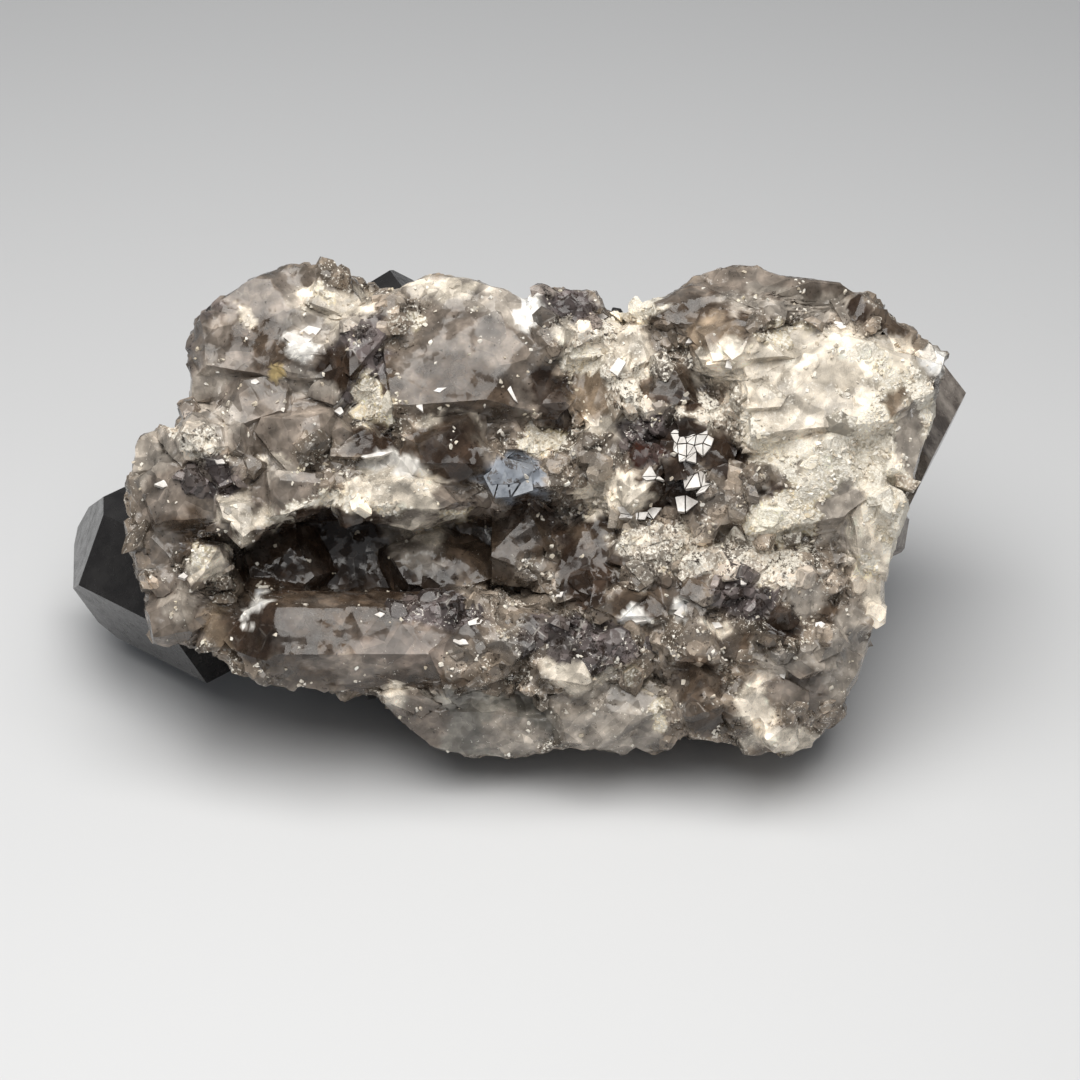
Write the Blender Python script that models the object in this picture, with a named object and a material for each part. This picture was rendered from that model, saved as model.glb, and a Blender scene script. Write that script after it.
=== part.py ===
"""Smoky quartz cluster: a broken slab of massive quartz with black crystals grown from its far side.

The slab's broken face leans back. The cluster stands on two feet of the slab and on the lowest crystals
behind them, with the face's lower edge clear of the ground.
Shapes are set out in the frame of the broken face, in millimetres: u runs across, v up it and w out of it.
"""

import math
import random

import bmesh
import bpy
from mathutils import Matrix, Vector

MM = 0.001

# Where the broken face stands
FACE_LEAN = math.radians(35)
FACE_CENTRE = Vector((4.57, -24.04, 50.0))
VIEW_DISTANCE = 800.0

# The slab's rings: depth, share of the outline's size, and the lowest each reaches over its hollow underside
SLAB_FRONT = (-15.0, 0.96, -41.0)
SLAB_WAIST = (-24.0, 0.97, -31.0)
SLAB_BACK = (-34.0, 0.86, -22.0)
LUMP_ROOT = -21.0
CRYSTAL_GAP = 0.3
GROUND_BLOCK = 400.0
SMALLEST_PIECE = 50.0

# Quartz's own angles: a prism face every 60 degrees, and tip faces this far from the crystal's long axis
PRISM_STEP = math.radians(60)
TIP_ANGLE = math.radians(51.8)

ACROSS = Vector((1, 0, 0))
UP_FACE = Vector((0, math.sin(FACE_LEAN), math.cos(FACE_LEAN)))
OUT_OF_FACE = Vector((0, -math.cos(FACE_LEAN), math.sin(FACE_LEAN)))

# The outline of the broken face, clockwise from the left shoulder
OUTLINE = [
    (-70, 40), (-69, 43), (-65, 47), (-58, 52), (-50, 55.2), (-42, 53.6), (-37, 52), (-28, 50), (-22, 53),
    (-14, 52), (-2, 48), (0, 50), (4, 50.4), (11, 49.6), (12, 45), (17, 45.6), (25, 48.4), (30, 51), (36, 55),
    (40, 55.4), (48, 53), (60, 51.4), (64, 49), (68, 46), (73, 42), (77, 39), (81, 37), (79.6, 32), (77, 20),
    (73, 8), (70, -4), (68, -14), (65, -22), (63, -28), (60, -34), (54, -41), (50, -42.6), (41, -42),
    (39, -40.4), (30, -39), (23, -43), (14, -43.4), (4, -42), (-4, -43.4), (-14, -43), (-22, -41), (-28, -36),
    (-33, -30.4), (-42, -30), (-52, -28), (-61, -25), (-63, -23), (-70, -21), (-77, -20), (-79, -14),
    (-78, -10), (-80, -7), (-82, 0), (-82.4, 8), (-81, 14), (-81, 20), (-76, 22), (-73, 22), (-70, 27),
    (-69.6, 32),
]
# How far the sides of the broken face stand in from the outline at each depth, at most
SIDE_DEPTHS = [(40, 1.6), (-8, 0.0), (-22, 1.8), (-60, 1.8)]
SIDE_SEED = 3

# Each lump: across, up and top of its face, half width, half height, roll, and its face's slope right and up
UPPER_LEFT_LUMPS = [
    (-56, 40, 2, 14, 12.5, -20, -14, 10), (-49, 50, -3, 8.5, 4.8, 12, 0, 25),
    (-65, 33, -1, 5.6, 7, 0, -14, -10),
    (-42, 47.5, 0, 7, 5, -10, 5, 15), (-44, 34.5, 6, 6.5, 5, 10, 0, 16), (-55.5, 27, 5, 8, 6.5, 25, -6, 10),
    (-46.5, 20, 10, 8, 7.6, 40, 2, 6), (-68, 22, 0, 7, 5.6, 20, -18, 26),
    (-77, 16.5, -5, 5.4, 5.2, 0, -24, 10), (-78, 7, -4, 4.6, 7.6, 0, -26, -5),
    (-69.5, 9, 4, 9.6, 8.4, 15, -8, -6), (-74.5, -2, -2, 7, 7, -20, -10, -26),
    (-58.5, 5.5, 10, 6, 3.6, -12, 0, 12), (-60, 15.5, 7, 9, 6, 8, -5, 12), (-48, 9.5, 11, 8, 4.6, 18, 0, -8),
]
LOWER_LEFT_LUMPS = [
    (-66.5, -5, 5, 4.8, 4.2, 30, -6, 5), (-73, -14.5, 3, 6.8, 6.6, 0, -12, -6),
    (-64.5, -18, 1, 4, 4.6, 0, 0, -16), (-43, -26, 1, 17, 4.2, -4, 0, -22), (-51, -6, -8, 8, 7, 0, 0, 0),
    (-13, -21.5, 6.6, 8.6, 8.6, 5, 4, -8), (-26, -32, 1, 7.6, 3.6, -18, 0, -26),
    (-14, -35.5, -2, 18, 7.8, -8, 0, -32), (-21, -16, 0, 11, 4.4, -6, 0, 28), (-2, -19, 3, 10, 6, -6, 0, 14),
]
MIDDLE_LUMPS = [
    (-35, 40, 6, 9, 5.6, 48, 8, 12), (-38.5, 29, 6, 7, 5.6, -30, 0, 4), (-28, 32, 3, 5.2, 5.4, 0, 0, 0),
    (-25, 46.5, -1, 5, 3.4, 0, 0, 20), (-13, 35, 7, 17, 15.5, 10, 4, 12), (-14, 48.5, -4, 15, 5, -4, 0, 42),
    (-1.6, 44, 2, 3.4, 5.4, 0, 6, 8), (6, 46.5, -3, 6.8, 4.2, -4, 0, 12), (14.5, 28, 3, 8.6, 8.6, 20, -4, 4),
    (11, 39, 0, 8, 5, 0, 0, 22), (19, 38, 2, 7, 5.4, 15, 0, 10), (-20.5, 17.5, 10, 9.6, 8.4, 35, 9, -6),
    (-28.5, 9.5, 10, 12, 5.2, -8, 0, -14), (-35.5, 18.5, 8, 7, 4.4, 0, 0, 10), (-8, 20, 4, 9, 5.4, 0, 0, 2),
    (-6.4, 12.8, 7, 5, 4.4, 10, 2, 8), (0.4, 12.2, 6, 4, 3.8, 0, 8, 4), (10, 16, 4, 8, 7, 15, 0, 0),
    (21, 13.5, 6, 9, 8, 35, 5, 0), (30, 19, 6, 7, 9, 10, 4, 0), (25, 29, 5, 8, 6.6, 0, 0, 8),
]
CAVITY_LUMPS = [
    (-2.5, -1, -2, 7.6, 9, 10, 0, 4), (9.4, -4, 1, 7.4, 9, -8, -4, 0), (-20, -5.5, -8, 11, 6.4, 0, 6, 16),
]
RIGHT_LUMPS = [
    (30.5, 45, 2, 12.4, 6, -12, 0, 22), (46, 49, -4, 17, 6, 4, 0, 46), (40, 39, 8, 12, 6, 0, 0, 12),
    (64, 45.5, -1, 4, 3.6, 30, 10, 20), (69, 40, -1, 6, 4.6, -35, 20, 26), (77, 34.5, -3, 4.4, 4, 20, 22, 10),
    (58, 29, 9, 18, 12.4, -6, 4, 10), (71, 20, 4, 8.6, 14, 8, 30, 0), (66.5, 4, 4, 8, 12, 6, 30, -10),
    (52, 12, 8.6, 14.5, 11.6, 0, 0, -4), (38, 8, 6, 10, 9, 20, 0, 2), (61, -12, 2, 8, 11, 12, 26, -10),
    (50, -9.5, 7, 10, 8.4, 0, 4, -5), (36, -6, 6, 10, 8, 25, 0, 0), (23, -4, 4, 9, 7.4, -10, 0, 0),
    (44, -20, 8, 9.6, 6.4, 8, 0, -6), (30, -20.5, 8, 9, 6, -10, 0, -4), (55.5, -26, 2, 7.6, 9.4, 16, 22, -12),
    (43, -32.5, 5, 7.4, 7.6, 0, 0, -16), (33, -31.5, 5, 7, 7.6, 15, 0, -16),
    (51.5, -35.5, -4, 7.6, 6.4, 10, 20, -32),
    (12, -22, 6, 9, 5.4, 0, 0, 0), (17.5, -12, 5, 8, 5.4, 12, 0, 6), (12.5, -34.5, 2, 11, 7.6, 6, 0, -20),
    (7, -25.5, 7, 7.6, 4.6, -8, 0, 4), (23, -36, -1, 6.4, 5.8, 0, 0, -24),
]
LUMP_FACES = 13

# The pale prism lying along the lower left: where it starts, which way it runs, its width, length and twist
LYING_PRISM = ((-10, -19.8, -3.4), (-1.0, 0.0, 0.05), 17.4, 54, 12)

# Where the face is crumbly: across, up and radius of each patch, and how many small chips it holds
CRUMBLY_PATCHES = [
    (-62, 14, 14, 5), (-40, 31, 9, 5), (22, 20, 16, 8), (34, -4, 16, 9), (46, -26, 14, 6),
    (68, 8, 10, 4), (14, -14, 10, 5), (8, 34, 8, 3), (-40, 14, 8, 3), (-70, -12, 8, 3), (40, 36, 12, 4),
]
CHIP_SIZE = (2.2, 3.8)
CHIP_FACES = 9
CHIP_SEED = 7

# The slab's rough far side between the crystals, and last its two feet: across, up, half width, half height
# and height
REAR_LUMPS = [
    (-60, 26, 12, 12, 5), (-20, 36, 14, 9, 4), (20, 34, 13, 9, 5), (56, 32, 14, 11, 6), (62, 0, 9, 14, 4),
    (30, -17, 12, 6, 2), (-30, -14, 12, 6, 2), (0, -8, 16, 10, 4), (-52, 4, 13, 12, 5), (44, 4, 14, 12, 5),
    (34, -31, 15, 10, 8), (-5, -32, 15, 9, 7),
]

# Each crystal: where it is rooted, which way it grows, its width across the prism, length and twist
LEFT_CRYSTALS = [
    ((-61.5, -12.6, -24.9), (-0.74, 0.33, -0.59), 31, 48, -31),
    ((-44, -18, -25), (-0.3, -0.1, -0.93), 15, 22, 35),
]
TOP_CRYSTAL = [((-26.9, 41, -22.6), (-0.33, 0.45, -0.83), 14.6, 23.5, 72)]
RIGHT_CRYSTALS = [
    ((67, 15.7, -21.4), (0.32, 0.48, -0.82), 21, 45, 17), ((63, 4, -26), (0.46, -0.16, -0.88), 12, 22, 30),
]
REAR_CRYSTALS = [
    ((-10, 14, -26), (-0.04, 0.05, -1), 33, 54, 12), ((17, 0, -26), (0.12, 0.06, -1), 26, 48, 40),
    ((-33, 21, -26), (-0.26, 0.1, -1), 22, 43, 25), ((-34, 1, -26), (-0.1, 0.02, -1), 24, 49, 5),
    ((22, 24, -26), (0.1, 0.2, -1), 25, 44, 50), ((4, 32, -26), (0.0, 0.36, -1), 20, 36, 15),
    ((-14, -10, -26), (-0.15, -0.3, -1), 21, 41, 33), ((38, 4, -26), (0.26, 0.02, -1), 20, 38, 10),
    ((0, -14, -26), (0.02, -0.14, -1), 18, 25, 45), ((-12, 34, -26), (-0.08, 0.38, -1), 15, 31, 5),
    ((33, 14, -26), (0.44, 0.3, -1), 13, 36, 30), ((-50, 12, -26), (-0.42, 0.24, -1), 17, 30, 20),
    ((34, -11, -26), (0.2, -0.3, -1), 20, 39, 22), ((-49, 32, -26), (-0.4, 0.36, -1), 14, 26, 40),
    ((-26, -14, -26), (-0.3, -0.3, -1), 15, 37, 15), ((36, 32, -26), (0.26, 0.42, -1), 17, 32, 35),
    ((50, 36, -26), (0.42, 0.46, -1), 14, 27, 8), ((47, 20, -26), (0.24, 0.1, -1), 13, 26, 44),
    ((-58, 26, -26), (-0.3, 0.3, -1), 13, 20, 12), ((-2, 0, -26), (-0.1, -0.26, -1), 12, 34, 28),
    ((46, -13, -26), (0.2, -0.14, -1), 12, 18, 3),
]

# How a mineral's colour looks on the plain model: red, green, blue and roughness
BROKEN_QUARTZ = ("broken smoky quartz", (0.42, 0.36, 0.31), 0.45)
BLACK_QUARTZ = ("black smoky quartz", (0.035, 0.033, 0.034), 0.15)
GREY_QUARTZ = ("grey smoky quartz", (0.2, 0.17, 0.15), 0.2)


def clear_scene():
    for item in list(bpy.data.objects):
        bpy.data.objects.remove(item)


def face_point(u, v, w):
    """A point of the broken face's frame, in metres, drawn in by perspective where it stands nearer."""
    nearer = 1 - w / VIEW_DISTANCE
    return (FACE_CENTRE + ACROSS * u * nearer + UP_FACE * v * nearer + OUT_OF_FACE * w) * MM


def face_turn():
    """Turns millimetres along u, v and w into metres."""
    return Matrix((ACROSS, UP_FACE, OUT_OF_FACE)).transposed() * MM


def cut_block(planes, reach):
    """A closed block cut from a cube by planes, each a unit normal and its distance from the middle."""
    block = bmesh.new()
    bmesh.ops.create_cube(block, size=2 * reach)
    for normal, distance in planes:
        everything = block.verts[:] + block.edges[:] + block.faces[:]
        cut = bmesh.ops.bisect_plane(
            block, geom=everything, dist=1e-6, plane_co=normal * distance, plane_no=normal, clear_outer=True
        )
        rim = [item for item in cut["geom_cut"] if isinstance(item, bmesh.types.BMEdge)]
        if rim:
            bmesh.ops.holes_fill(block, edges=rim, sides=0)
    bmesh.ops.recalc_face_normals(block, faces=block.faces[:])
    return block


def place(block, name, turn, spot):
    """Makes an object of a block, turned into metres and set at its spot."""
    bmesh.ops.transform(block, matrix=Matrix.Translation(spot) @ turn.to_4x4(), verts=block.verts)
    mesh = bpy.data.meshes.new(name)
    block.to_mesh(mesh)
    block.free()
    made = bpy.data.objects.new(name, mesh)
    bpy.context.scene.collection.objects.link(made)
    return made


def scattered_normals(count, chance):
    """Unit normals spread evenly round a ball, each nudged a little."""
    golden = math.pi * (3 - math.sqrt(5))
    normals = []
    for i in range(count):
        z = 1 - (2 * i + 1) / count
        ring = math.sqrt(1 - z * z)
        normal = Vector((ring * math.cos(golden * i), ring * math.sin(golden * i), z))
        nudge = Vector([chance.uniform(-0.35, 0.35) for _ in range(3)])
        normals.append((normal + nudge).normalized())
    return normals


def lump(row, seed):
    """A broken lump with one large face at its top, rooted in the slab."""
    u, v, top, half_width, half_height, roll, slope_right, slope_up = row
    chance = random.Random(seed)
    half_depth = (top - LUMP_ROOT) / 2
    right = math.tan(math.radians(slope_right)) * half_width / half_depth
    up = math.tan(math.radians(slope_up)) * half_height / half_depth
    planes = [(Vector((right, up, 1)).normalized(), chance.uniform(0.84, 0.92))]
    planes += [(normal, chance.uniform(0.84, 1.0)) for normal in scattered_normals(LUMP_FACES, chance)]
    block = cut_block(planes, 1.2)
    stretch = Matrix.Diagonal((half_width * 1.12, half_height * 1.12, half_depth * 1.12))
    turn = face_turn() @ Matrix.Rotation(math.radians(roll), 3, "Z") @ stretch
    return place(block, "lump", turn, face_point(u, v, top - half_depth))


def chip(u, v, w, size, chance):
    """A small broken chip, half sunk in the face."""
    planes = [(normal, chance.uniform(0.75, 1.0)) for normal in scattered_normals(CHIP_FACES, chance)]
    block = cut_block(planes, 1.3)
    spin = Matrix.Rotation(chance.uniform(0, math.tau), 3, Vector((chance.random(), chance.random(), 1)))
    stretch = Matrix.Diagonal((size * 1.25, size, size * 1.1))
    return place(block, "chip", face_turn() @ spin @ stretch, face_point(u, v, w))


def crystal(row, seed, grown=0.0):
    """A six-sided crystal with a six-faced tip. Every face stands further out by the amount grown."""
    root, direction, width, length, twist = row
    chance = random.Random(seed)
    tip = length * math.cos(TIP_ANGLE)
    planes = [(Vector((0, 0, -1)), grown)]
    for side in range(6):
        about = side * PRISM_STEP
        level = Vector((math.cos(about), math.sin(about), 0))
        steep = level * math.sin(TIP_ANGLE) + Vector((0, 0, math.cos(TIP_ANGLE)))
        small_face = width * (chance.uniform(0.04, 0.1) if side % 2 else chance.uniform(-0.03, 0.0))
        planes.append((level, width * chance.uniform(0.46, 0.52) + grown))
        planes.append((steep, tip + small_face + grown))
    block = cut_block(planes, length * 1.5)
    axis = Vector(direction).normalized()
    lean = Vector((0, 0, 1)).rotation_difference(axis).to_matrix()
    turn = face_turn() @ lean @ Matrix.Rotation(math.radians(twist), 3, "Z")
    return place(block, "crystal", turn, face_point(*root))


def skinned(name, rings):
    """A solid through rings of points, closed at both ends."""
    body = bmesh.new()
    loops = [[body.verts.new(point) for point in ring] for ring in rings]
    for near, far in zip(loops, loops[1:]):
        for i, corner in enumerate(near):
            after = (i + 1) % len(near)
            body.faces.new((corner, far[i], far[after], near[after]))
    body.faces.new(loops[0])
    body.faces.new(list(reversed(loops[-1])))
    bmesh.ops.recalc_face_normals(body, faces=body.faces[:])
    return place(body, name, Matrix.Identity(3), Vector())


def slab():
    """The body of the slab: its outline at the front, drawn in at the back and hollowed underneath."""
    rings = []
    for depth, share, lowest in (SLAB_FRONT, SLAB_WAIST, SLAB_BACK):
        rings.append([face_point(u * share, max(v * share, lowest), depth) for u, v in OUTLINE[::2]])
    return skinned("slab", rings)


def side_walls():
    """Everything inside the outline, with sides as uneven as a break leaves them."""
    chance = random.Random(SIDE_SEED)
    rings = []
    for depth, most in SIDE_DEPTHS:
        ring = []
        for u, v in OUTLINE:
            share = 1 - chance.random() * most / math.hypot(u, v)
            ring.append(face_point(u * share, v * share, depth))
        rings.append(ring)
    return skinned("side walls", rings)


def rear_lump(row, seed):
    u, v, half_width, half_height, height = row
    chance = random.Random(seed)
    planes = [(normal, chance.uniform(0.82, 1.0)) for normal in scattered_normals(LUMP_FACES, chance)]
    stretch = Matrix.Diagonal((half_width, half_height, height + 6))
    spot = face_point(u, v, SLAB_BACK[0] + 4)
    return place(cut_block(planes, 1.2), "rear lump", face_turn() @ stretch, spot)


def chips(solid_so_far):
    """Chips scattered over the crumbly patches, each half sunk in the surface that is there."""
    chance = random.Random(CHIP_SEED)
    made = []
    for patch_u, patch_v, radius, count in CRUMBLY_PATCHES:
        for _ in range(count):
            about, out = chance.uniform(0, math.tau), radius * math.sqrt(chance.random())
            u, v = patch_u + out * math.cos(about), patch_v + out * math.sin(about)
            size = chance.uniform(*CHIP_SIZE)
            hit, spot, _, _ = solid_so_far.ray_cast(face_point(u, v, 40), -OUT_OF_FACE)
            if hit:
                w = (spot / MM - FACE_CENTRE) @ OUT_OF_FACE
                made.append(chip(u, v, w - size * 0.5, size, chance))
    return made


def evaluated_copy(name, source):
    """A plain object with the mesh that the source's modifiers give."""
    bpy.context.view_layer.update()
    graph = bpy.context.evaluated_depsgraph_get()
    mesh = bpy.data.meshes.new_from_object(source.evaluated_get(graph))
    mesh.name = name
    made = bpy.data.objects.new(name, mesh)
    bpy.context.scene.collection.objects.link(made)
    return made


def combine(name, first, others, operation):
    """One solid of the first object joined with the others, or cut by them. The objects used are removed."""
    group = bpy.data.collections.new(name + " pieces")
    bpy.context.scene.collection.children.link(group)
    for item in others:
        bpy.context.scene.collection.objects.unlink(item)
        group.objects.link(item)
    boolean = first.modifiers.new(operation.lower(), "BOOLEAN")
    boolean.operation = operation
    boolean.operand_type = "COLLECTION"
    boolean.collection = group
    boolean.solver = "EXACT"
    made = evaluated_copy(name, first)
    for item in [first, *others]:
        bpy.data.objects.remove(item)
    bpy.data.collections.remove(group)
    return made


def ground_block():
    """Everything below the ground that the cluster stands on."""
    block = bmesh.new()
    bmesh.ops.create_cube(block, size=GROUND_BLOCK * MM)
    return place(block, "ground", Matrix.Identity(3), Vector((0, 0, -GROUND_BLOCK * MM / 2)))


def shells_of(shape):
    """The separate closed shells of a mesh, each as its list of corners."""
    unseen = dict.fromkeys(shape.verts)
    shells = []
    while unseen:
        reached = [unseen.popitem()[0]]
        for corner in reached:
            for edge in corner.link_edges:
                other = edge.other_vert(corner)
                if other in unseen:
                    del unseen[other]
                    reached.append(other)
        shells.append(reached)
    return shells


def drop_hollows(solid):
    """Drops sealed hollows and loose slivers: every shell that encloses less than the smallest piece."""
    shape = bmesh.new()
    shape.from_mesh(solid.data)
    for shell in shells_of(shape):
        faces = {face for corner in shell for face in corner.link_faces}
        volume = sum(face.calc_area() * face.normal.dot(face.calc_center_median()) / 3 for face in faces)
        if volume < SMALLEST_PIECE * MM**3:
            bmesh.ops.delete(shape, geom=shell, context="VERTS")
    shape.to_mesh(solid.data)
    shape.free()


def finish(solid, look):
    """Gives a solid its material and flat shading."""
    drop_hollows(solid)
    name, colour, roughness = look
    material = bpy.data.materials.get(name) or bpy.data.materials.new(name)
    material.use_nodes = True
    shader = material.node_tree.nodes["Principled BSDF"]
    shader.inputs["Base Color"].default_value = (*colour, 1)
    shader.inputs["Roughness"].default_value = roughness
    solid.data.materials.clear()
    solid.data.materials.append(material)
    solid.data.shade_flat()


def crystals(name, rows, seed, look):
    """Crystals that grew through each other, as one solid that stops at the ground."""
    grown = [crystal(row, seed + i) for i, row in enumerate(rows)]
    joined = combine(name, grown[0], grown[1:], "UNION") if len(grown) > 1 else grown[0]
    made = combine(name + " on ground", joined, [ground_block()], "DIFFERENCE")
    made.name = name
    finish(made, look)
    return made


def sockets(rows, seed):
    """The room that crystals take up in the slab, with a little clearance."""
    return [crystal(row, seed + i, grown=CRYSTAL_GAP) for i, row in enumerate(rows)]


def matrix(crystal_sets):
    """The slab with its lumps and chips, broken off at its sides and hollowed round the crystals' roots."""
    rows = UPPER_LEFT_LUMPS + LOWER_LEFT_LUMPS + MIDDLE_LUMPS + CAVITY_LUMPS + RIGHT_LUMPS
    lumps = [lump(row, 100 + i) for i, row in enumerate(rows)]
    lumps.append(crystal(LYING_PRISM, 11))
    lumps += [rear_lump(row, 300 + i) for i, row in enumerate(REAR_LUMPS)]
    body = combine("body", slab(), lumps, "UNION")
    body = combine("body with chips", body, chips(body), "UNION")
    body = combine("body within outline", body, [side_walls()], "INTERSECT")
    room = [socket for rows, seed, _ in crystal_sets for socket in sockets(rows, seed)]
    body = combine("matrix", body, [*room, ground_block()], "DIFFERENCE")
    body.name = "matrix"
    finish(body, BROKEN_QUARTZ)
    return body


def main():
    clear_scene()
    sets = {
        "left_crystals": (LEFT_CRYSTALS, 500, BLACK_QUARTZ),
        "top_crystal": (TOP_CRYSTAL, 520, BLACK_QUARTZ),
        "right_crystals": (RIGHT_CRYSTALS, 540, GREY_QUARTZ),
        "rear_crystals": (REAR_CRYSTALS, 560, BLACK_QUARTZ),
    }
    matrix(sets.values())
    for name, (rows, seed, look) in sets.items():
        crystals(name, rows, seed, look)


main()
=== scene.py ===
"""Smoky quartz cluster: a broken, partly crusted slab of smoky quartz with black crystals behind it."""

import math

import bmesh
import bpy
import numpy as np
from mathutils import Matrix, Vector
from mathutils.bvhtree import BVHTree
from mathutils.kdtree import KDTree


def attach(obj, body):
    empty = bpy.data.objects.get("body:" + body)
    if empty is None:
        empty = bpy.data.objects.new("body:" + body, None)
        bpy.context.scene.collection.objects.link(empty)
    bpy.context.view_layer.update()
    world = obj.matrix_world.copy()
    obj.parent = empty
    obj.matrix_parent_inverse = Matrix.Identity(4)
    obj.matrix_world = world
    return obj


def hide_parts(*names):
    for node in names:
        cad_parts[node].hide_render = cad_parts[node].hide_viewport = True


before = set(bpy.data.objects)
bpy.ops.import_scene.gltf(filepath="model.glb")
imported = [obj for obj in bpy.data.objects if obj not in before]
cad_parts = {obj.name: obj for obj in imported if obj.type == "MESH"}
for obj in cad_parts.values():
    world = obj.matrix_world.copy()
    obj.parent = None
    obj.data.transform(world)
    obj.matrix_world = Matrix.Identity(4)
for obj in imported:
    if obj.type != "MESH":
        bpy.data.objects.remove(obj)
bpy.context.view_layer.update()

# The cluster stands with its broken face leaning back 35 degrees, and the camera looks straight at it. The
# floor is plain and pale, under soft light from above and in front. Lights are placed in metres, and the
# values for the cluster itself are in millimetres.
MM = 0.001
FACE_LEAN = math.radians(35)
FACE_CENTRE = Vector((4.57, -24.04, 50.0))
VIEW_DISTANCE = 800.0
VIEW_WIDTH = 216.0
ACROSS = Vector((1, 0, 0))
UP_FACE = Vector((0, math.sin(FACE_LEAN), math.cos(FACE_LEAN)))
OUT_OF_FACE = Vector((0, -math.cos(FACE_LEAN), math.sin(FACE_LEAN)))
LIGHT_SPOT = Vector((-0.06, -0.2, 0.68))

scene = bpy.context.scene
scene.view_settings.view_transform = "Standard"
face_turn = Matrix((ACROSS, UP_FACE, OUT_OF_FACE)).transposed()
lens = bpy.data.cameras.new("camera")
lens.sensor_width = 36
lens.lens = 36 * VIEW_DISTANCE / VIEW_WIDTH
lens.clip_start = 0.01
camera = bpy.data.objects.new("camera", lens)
scene.collection.objects.link(camera)
EYE = (FACE_CENTRE + OUT_OF_FACE * VIEW_DISTANCE) * MM
camera.matrix_world = Matrix.Translation(EYE) @ face_turn.to_4x4()
scene.camera = camera


def soft_light(name, spot, aim, size, power, colour, spread):
    light = bpy.data.lights.new(name, "AREA")
    light.shape = "SQUARE"
    light.size = size
    light.energy = power
    light.color = colour
    light.spread = math.radians(spread)
    lamp = bpy.data.objects.new(name, light)
    scene.collection.objects.link(lamp)
    lamp.location = spot
    lamp.rotation_euler = (Vector(aim) - Vector(spot)).to_track_quat("-Z", "Y").to_euler()


soft_light("light overhead", LIGHT_SPOT, (-0.05, -0.16, 0.0), 0.72, 4.5, (1.0, 0.985, 0.955), 130)
soft_light("light in front", (0.1, -1.1, 0.9), (0, 0, 0.04), 0.8, 1.1, (0.96, 0.98, 1.0), 180)
world = bpy.data.worlds.new("even light")
scene.world = world
world.use_nodes = True
world.node_tree.nodes["Background"].inputs["Color"].default_value = (0.9, 0.94, 1.0, 1)
world.node_tree.nodes["Background"].inputs["Strength"].default_value = 0.16

floor_mesh = bpy.data.meshes.new("floor")
floor_mesh.from_pydata([(-2, -2, 0), (2, -2, 0), (2, 2, 0), (-2, 2, 0)], [], [(0, 1, 2, 3)])
floor = bpy.data.objects.new("floor", floor_mesh)
scene.collection.objects.link(floor)
paint = bpy.data.materials.new("pale floor")
paint.use_nodes = True
paint.node_tree.nodes["Principled BSDF"].inputs["Base Color"].default_value = (0.6, 0.605, 0.615, 1)
paint.node_tree.nodes["Principled BSDF"].inputs["Roughness"].default_value = 0.7
floor_mesh.materials.append(paint)

# The slab is massive smoky quartz, broken through, so its face is a jumble of glassy grey-brown windows,
# white veins and pale crust. Its mesh is the CAD solid cut finer and broken into facets, and the minerals are
# laid on as spots: each has its place on the face, its size and its kind.
FRONT_EDGE = 1.48  # the longest edge of the finer mesh on the broken face
REAR_EDGE = 3.2  # the longest edge everywhere else
FRONT_DEPTH = -20.0  # how far back from the middle of the face the fine mesh goes
CREVICE_DEPTH = 2.2  # how deep a gap between lumps stays
LARGE_GRAINS = 210  # how many of the larger grains a metre holds in a row
SMALL_GRAINS = 640  # the same for the smaller grains inside them
# The open hollows, which stay unfilled: across, up, half width and half height
HOLLOWS = [(-32, -3, 30, 8), (-4, -3, 16, 7)]


def seen(points):
    """Millimetres across, up and out of the broken face, as the camera lines up an array of points."""
    from_centre = points / MM - np.array(FACE_CENTRE)
    out = from_centre @ np.array(OUT_OF_FACE)
    nearer = 1 / (1 - out / VIEW_DISTANCE)
    return from_centre @ np.array(ACROSS) * nearer, from_centre @ np.array(UP_FACE) * nearer, out


def waves(points, size, seed):
    """Smooth uneven values, mostly between -2 and 2, that change over about this many millimetres."""
    chance = np.random.default_rng(seed)
    total = np.zeros(len(points))
    for _ in range(14):
        way = chance.normal(size=3)
        way *= math.tau / (size * chance.uniform(0.8, 2.2) * np.linalg.norm(way))
        total += np.sin(points / MM @ way + chance.uniform(0, math.tau))
    return total / math.sqrt(7)


def cells(points, spacing, seed):
    """Middles of cells about this many millimetres apart, taken from the points themselves."""
    chance = np.random.default_rng(seed)
    order = chance.permutation(len(points))
    boxes = np.floor(points[order] / (spacing * MM) + chance.uniform(0, 1, 3)).astype(int)
    _, first = np.unique(boxes, axis=0, return_index=True)
    tree = KDTree(len(first))
    middles = points[order][first]
    for i, middle in enumerate(middles):
        tree.insert(middle, i)
    tree.balance()
    return tree, middles


def facets(points, spacing, height, tilt, seed):
    """How many millimetres each point stands out, on a surface broken into flat facets this far apart."""
    tree, middles = cells(points, spacing, seed)
    chance = np.random.default_rng(seed + 1)
    heights = chance.normal(0, height, len(middles))
    slopes = chance.normal(0, math.tan(math.radians(tilt)) / 1.7, (len(middles), 3))
    found = np.array([[(i, d) for _, i, d in tree.find_n(point, 4)] for point in points])
    near, far = found[:, :, 0].astype(int), found[:, :, 1] / MM
    rise = np.einsum("pkc,pkc->pk", slopes[near], (points[:, None] - middles[near]) / MM)
    drop = 0.8 * (far**2 - far[:, :1] ** 2) / spacing
    return np.max(heights[near] + rise - drop, axis=1)


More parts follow.
